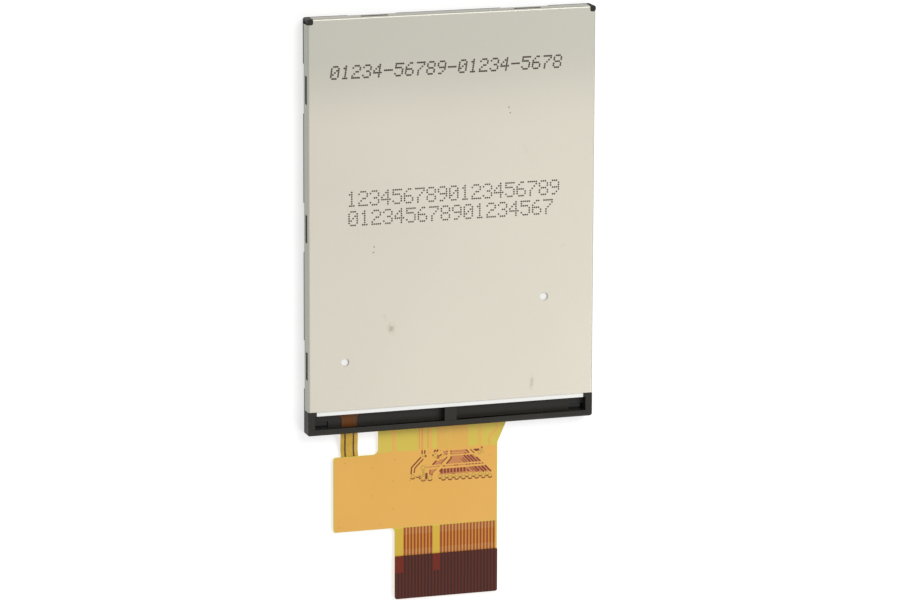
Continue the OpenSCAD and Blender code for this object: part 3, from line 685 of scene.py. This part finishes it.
def slanted_lines(plates):
    """Gaps between the traces that fan out, broken where other traces cross them."""
    plates.line([(-1.66, -5.36), (-2.28, -5.95)], 0.16)
    plates.line([(-0.05, -4.92), (-0.98, -5.95)], 0.12)
    plates.line([(-1.6, -6.62), (-2.42, -7.48)], 0.17)
    plates.line([(-2.67, -6.65), (-2.67, -7.35)], 0.1)
    plates.line([(0.52, -4.9), (0.52, -5.18), (-0.18, -5.95)], 0.15)
    plates.line([(-0.84, -6.62), (-1.22, -7.02)], 0.17)
    for x in (-0.08, 0.5):
        plates.line([(x, -4.02), (x, -4.25)], 0.13)
        plates.line([(x, -4.42), (x, -4.58)], 0.13)
    for x, y, reach, width in ((2.77, -4.06, 0.5, 0.15), (2.58, -4.46, 0.17, 0.13), (3.45, -4.06, 0.62, 0.1),
                               (2.46, -4.86, 1.04, 0.17), (2.94, -4.86, 1.06, 0.16), (3.42, -4.86, 1.1, 0.17),
                               (4.34, -5.28, 0.68, 0.16), (2.28, -5.2, 0.72, 0.09), (2.1, -5.42, 0.52, 0.08),
                               (4.08, -6.64, 0.72, 0.21), (4.64, -6.64, 0.94, 0.17), (5.15, -6.64, 0.76, 0.2),
                               (5.66, -6.58, 1.0, 0.17), (3.66, -6.64, 0.86, 0.1), (3.3, -6.64, 0.66, 0.09),
                               (2.9, -6.9, 0.38, 0.15)):
        plates.line([(x, y), (x + reach * 0.96, y - reach)], width)
    plates.lay([(3.83, -4.04), (4.79, -4.04), (4.79, -4.3), (4.35, -4.42), (4.1, -4.3)], GAP_T, GAP)
    plates.line([(5.14, -3.8), (5.22, -3.98)], 0.19)
    plates.line([(5.5, -4.55), (5.4, -4.75)], 0.08, FIELD_T, FIELD)
    for x in (-1.31, -0.5, 1.12, 1.46, 2.9, 3.33, 3.82, 4.35, 4.84, 5.32):
        plates.line([(x - 0.1, -6.2), (x + 0.1, -6.3)], 0.12)


def crossing_traces(plates):
    """Traces that run over the fan: the bright one from the neck and two level ones to a via."""
    plates.line([(0.2, COPPER_TOP - BOTTOM), (0.2, -5.02), (-2.2, -7.4)], 0.32, TOP_T, COPPER)
    for y in (-6.06, -6.45):
        plates.line([(-3.35, y), (5.4, y)], 0.17, TOP_T - 0.0005, COPPER)
    plates.line([(0.62, -4.4), (3.0, -4.4)], 0.06, TOP_T - 0.0005, COPPER)
    plates.line([(0.62, -4.74), (3.2, -4.74)], 0.12, TOP_T - 0.0005, COPPER)
    plates.loop(4.85, -4.6, 0.3)
    plates.loop(5.15, -4.3, 0.26)


def via_rows(plates):
    """Two staggered rows of eight vias at the end of the fan, each with a dark arc below it."""
    for i in range(8):
        upper, lower = -1.13 + 1.015 * i, -0.61 + 1.007 * i
        drop = 0.018 * i
        plates.loop(upper, -7.68 - drop, 0.3)
        plates.smile(upper, -7.68 - drop, 0.28, 0.17, 238, 302)
        plates.loop(lower, -7.99 - drop, 0.3)
        plates.smile(lower, -7.99 - drop, 0.28, 0.16)


def upright_stripes(plates):
    for i in range(8):
        plates.line([(-0.9 + 0.494 * i, -6.66), (-0.9 + 0.494 * i, -7.3)], 0.24)


def rear_copper():
    plates = RearPrint()
    for drawn in (copper_fill, neck_traces, fields, left_pairs, upper_left_vias, slanted_lines,
                  upright_stripes, crossing_traces, via_rows):
        drawn(plates)
    materials = [covered_copper(), print_tone("trace_gap", tone(118, 44, 22), tone(136, 60, 34)),
                 print_tone("via_ring", tone(186, 150, 66), tone(198, 164, 78)),
                 print_tone("trace_field", tone(196, 126, 74), tone(206, 138, 84))]
    mesh = plates.mesh("rear_copper_print")
    return show("rear_copper_print", mesh, materials, "covered_copper", "rear_copper")


# ---------------------------------------------------------------- front copper of the flex

TRACE_T, LINK_T, PAD_T, BUS_T = 0.01, 0.0095, 0.009, 0.0085


class FrontPrint(Plates):
    """Plates that lie on the flex's front. Each kind has its own thickness, so none lie level."""

    def line(self, points, width, thickness):
        self.strip(points, width, FLEX_LOW.z - thickness, FLEX_LOW.z)


def front_fan(plates, used):
    """Traces from the used contacts up to the bond, where they all lie at one pitch."""
    middle, bond_pitch = (BOND_LOW.x + BOND_HIGH.x) / 2, 0.5
    start_y, end_y, top = BOTTOM - 12.5, BOTTOM - 4.5, BOTTOM + 0.3
    for i, k in enumerate(used):
        x = middle + (i - (len(used) - 1) / 2) * bond_pitch
        plates.line([(finger_x(k), FINGER_TOP), (finger_x(k), start_y), (x, end_y), (x, top)], 0.2, TRACE_T)


def led_lines(plates, used):
    """Two traces from the LED tail's solder joints round the chip parts to the first used contacts."""
    for i, x in enumerate((-14.1, -15.15)):
        level = BOTTOM - 5.7 - 0.45 * i
        turn = TAIL_X0 - 0.9 - 0.45 * i
        way = [(x, BOTTOM - 5.0), (x, level), (turn - 0.5, level), (turn, level - 0.5),
               (turn, BOTTOM - 13.3), (finger_x(used[1 - i]), FINGER_TOP)]
        plates.line(way, 0.22, TRACE_T)


def capacitor_lines(plates):
    """Links between the two rows of capacitors, and the line below them that they lead to."""
    bus_y = BOTTOM - 10.3
    for column in range(4):
        left, right = CHIP_LEFT + CHIP_PITCH * column, CHIP_RIGHT + CHIP_PITCH * column
        plates.line([(right, BOTTOM - 7.0), (right, BOTTOM - 8.8)], 0.3, PAD_T)
        plates.line([(left, BOTTOM - 7.0), (left, BOTTOM - 6.75)], 0.3, PAD_T)
        plates.line([(left, BOTTOM - 8.6), (left, BOTTOM - 9.8), (left + 0.38, BOTTOM - 10.2)], 0.16, PAD_T)
    plates.line([(FLEX_LOW.x + 0.6, bus_y), (TAIL_X0 - 1.9, bus_y)], 0.25, BUS_T)


def resistor_lines(plates):
    """Links from the line above the resistors to their left ends, and from their right ends down."""
    row_y, upper_y, lower_y = BOTTOM - 11.6, BOTTOM - 10.3, BOTTOM - 13.2
    for column in range(3):
        left, right = CHIP_LEFT + CHIP_PITCH * column, CHIP_RIGHT + CHIP_PITCH * column
        plates.line([(left, upper_y), (left, row_y)], 0.2, LINK_T)
        plates.line([(right, row_y), (right, lower_y)], 0.2, LINK_T)
    plates.line([(FLEX_LOW.x + 1.5, lower_y), (TAIL_X0 - 1.9, lower_y)], 0.25, BUS_T)


def front_traces():
    """Traces of the flex's front: from the used contacts up to the neck, and round the chip parts."""
    plates = FrontPrint()
    used = [k for k in range(CONTACTS) if k not in IDLE]
    front_fan(plates, used[2:])
    led_lines(plates, used)
    capacitor_lines(plates)
    resistor_lines(plates)
    return show("front_traces", plates.mesh("front_traces"), [front_copper()], "covered_copper")


# ---------------------------------------------------------------- pieces


def make_pieces():
    rounded("rear_pan", steel_sheet(), "steel_sheet", 0.035, INK_T)
    rounded("moulded_frame", black_moulding(), "black_moulding", 0.04)
    rounded("reflector_film", white_reflector(), "white_reflector", 0.02)
    rounded("led_flex", amber_film(), "amber_film", 0.015)
    rounded("main_flex", yellow_film(), "yellow_film", 0.015)
    rounded("flex_stiffener", dark_amber_film(), "dark_amber_film", 0.02)
    rounded("contact_fingers", gold_contact(), "gold_contact", 0.006)
    rounded("front_polarizer", polarizer(), "polarizer", 0.02)
    panel = panel_glass("panel_glass", tone(26, 30, 32), tone(34, 38, 40))
    rounded("colour_filter_glass", panel, "panel_glass", 0.03)
    # The TFT glass is made nearly black: partly its own dark tone, and partly painted shade for the recessed
    # windows of the frame's bottom bar where it shows.
    ledge = panel_glass("ledge_glass", tone(14, 17, 16), tone(20, 24, 22))
    rounded("tft_glass", ledge, "ledge_glass", 0.03)
    rounded("driver_ic", silicon(), "silicon", 0.02)
    coat = plain_film("clear_coat", tone(48, 52, 52), tone(60, 64, 64), 0.16)
    rounded("ledge_sealant", coat, "clear_coat", 0.03)
    adhesive = plain_film("conductive_adhesive", tone(122, 104, 74), tone(138, 120, 88), 0.5)
    rounded("bond_films", adhesive, "conductive_adhesive", 0.005)
    capacitor = chip_part("capacitor_body", tone(150, 112, 78), tone(172, 134, 98))
    rounded("capacitors", capacitor, "capacitor_body", 0.03)
    resistor = chip_part("resistor_body", tone(24, 24, 26), tone(36, 36, 38))
    rounded("resistors", resistor, "resistor_body", 0.03)
    led = plain_film("led_body", tone(232, 230, 222), tone(242, 240, 232), 0.4)
    rounded("leds", led, "led_body", 0.02)
    give("led_flex_traces", dark_line())
    give("tail_solder", solder())
    give("cell_seal", plain_film("seal", tone(110, 112, 108), tone(128, 130, 126), 0.5))
    give("rear_polarizer", plain_film("rear_polarizer", tone(40, 42, 46), tone(50, 52, 56), 0.25))
    give("rim_tape", plain_film("black_tape", tone(22, 22, 22), tone(32, 32, 32), 0.5))
    give("upper_prism_film", plain_film("prism_film", tone(206, 210, 212), tone(220, 224, 226), 0.25))
    give("lower_prism_film", plain_film("lower_prism_film", tone(206, 210, 212), tone(220, 224, 226), 0.25))
    give("diffuser_film", plain_film("diffuser", tone(226, 228, 228), tone(238, 240, 240), 0.6))
    give("light_guide", plain_film("clear_acrylic", tone(212, 220, 222), tone(226, 232, 234), 0.12))
    give("led_tape", plain_film("clear_tape", tone(198, 200, 196), tone(214, 216, 212), 0.3))
    rear_copper()
    front_traces()
    printed_rows()


def give(node, material):
    """A new material on a CAD node that stays as it is."""
    frame["nodes"][node].material_slots[0].material = material


# ---------------------------------------------------------------- stage


def floor():
    """A wide pale floor just below the part, white to the camera and seen from above only."""
    mesh = bpy.data.meshes.new("floor")
    reach = 500 * MM
    z = cad_box[0].z - 0.02 * MM
    corners = [(-reach, -reach, z), (reach, -reach, z), (reach, reach, z), (-reach, reach, z)]
    mesh.from_pydata(corners, [], [(0, 1, 2, 3)])
    ground = bpy.data.objects.new("floor", mesh)
    bpy.context.scene.collection.objects.link(ground)
    material = bpy.data.materials.new("floor")
    material.use_nodes = True
    tree = material.node_tree
    tree.nodes.clear()
    out = tree.nodes.new("ShaderNodeOutputMaterial")
    diffuse = tree.nodes.new("ShaderNodeBsdfDiffuse")
    diffuse.inputs["Color"].default_value = (0.5, 0.5, 0.5, 1)
    glow = tree.nodes.new("ShaderNodeEmission")
    glow.inputs["Strength"].default_value = 0.62
    both = tree.nodes.new("ShaderNodeAddShader")
    clear = tree.nodes.new("ShaderNodeBsdfTransparent")
    side = tree.nodes.new("ShaderNodeNewGeometry")
    pick = tree.nodes.new("ShaderNodeMixShader")
    tree.links.new(diffuse.outputs[0], both.inputs[0])
    tree.links.new(glow.outputs[0], both.inputs[1])
    tree.links.new(side.outputs["Backfacing"], pick.inputs[0])
    tree.links.new(both.outputs[0], pick.inputs[1])
    tree.links.new(clear.outputs[0], pick.inputs[2])
    tree.links.new(pick.outputs[0], out.inputs[0])
    mesh.materials.append(material)
    ground.visible_shadow = False
    ground.visible_diffuse = False


def world():
    """White behind the part and in its reflections, with a soft even light from all round."""
    made = bpy.data.worlds.new("studio")
    made.use_nodes = True
    bpy.context.scene.world = made
    tree = made.node_tree
    background = tree.nodes["Background"]
    background.inputs["Color"].default_value = (1, 1, 1, 1)
    path = tree.nodes.new("ShaderNodeLightPath")
    seen = path.outputs["Is Camera Ray"]
    for ray in ("Is Glossy Ray", "Is Transmission Ray"):
        either = tree.nodes.new("ShaderNodeMath")
        either.operation = "MAXIMUM"
        tree.links.new(seen, either.inputs[0])
        tree.links.new(path.outputs[ray], either.inputs[1])
        seen = either.outputs[0]
    strength = tree.nodes.new("ShaderNodeMapRange")
    tree.links.new(seen, strength.inputs["Value"])
    strength.inputs["To Min"].default_value = 0.4
    strength.inputs["To Max"].default_value = 1.0
    tree.links.new(strength.outputs[0], background.inputs["Strength"])


def lamp(name, place, target, size, power):
    """A soft square lamp. Place and target are in millimetres, power in watts."""
    data = bpy.data.lights.new(name, "AREA")
    data.shape = "SQUARE"
    data.size = size * MM
    data.energy = power
    made = bpy.data.objects.new(name, data)
    bpy.context.scene.collection.objects.link(made)
    made.location = Vector(place) * MM
    made.rotation_euler = (Vector(target) - Vector(place)).to_track_quat("-Z", "Y").to_euler()
    return made


def camera():
    """Looks down on the lying part from the rear, a little from the left and from above its top edge."""
    turn, tilt, roll = 0.3146, 0.2194, 0.0033
    distance = 722.245
    # Place of the module's bottom middle in the view, from the view's centre, in millimetres at that distance
    aim = Vector((-0.4891, -17.6313))
    back = Vector((-math.sin(turn) * math.cos(tilt), math.sin(tilt), math.cos(turn) * math.cos(tilt)))
    level = Vector((math.cos(turn), 0, math.sin(turn)))
    upright = back.cross(level)
    right = math.cos(roll) * level + math.sin(roll) * upright
    up = math.cos(roll) * upright - math.sin(roll) * level
    data = bpy.data.cameras.new("camera")
    data.sensor_width = 36
    data.lens = 201.06
    data.clip_start = 0.01
    data.clip_end = 20
    made = bpy.data.objects.new("camera", data)
    bpy.context.scene.collection.objects.link(made)
    middle = Vector((0, BOTTOM, 0))
    place = middle - aim.x * right - aim.y * up + distance * back
    pose = Matrix((right, up, back)).transposed().to_4x4()
    pose.translation = place * MM
    made.matrix_world = pose
    bpy.context.scene.camera = made


def stage():
    floor()
    world()
    lamp("key", (260, 430, 600), (0, -10, 0), 420, 3.0)
    lamp("fill", (420, -380, 520), (0, -10, 0), 500, 2.0)
    lamp("under", (0, 0, -600), (0, -10, 0), 500, 2.0)
    bpy.context.scene.view_settings.view_transform = "Standard"


make_pieces()
camera()
stage()
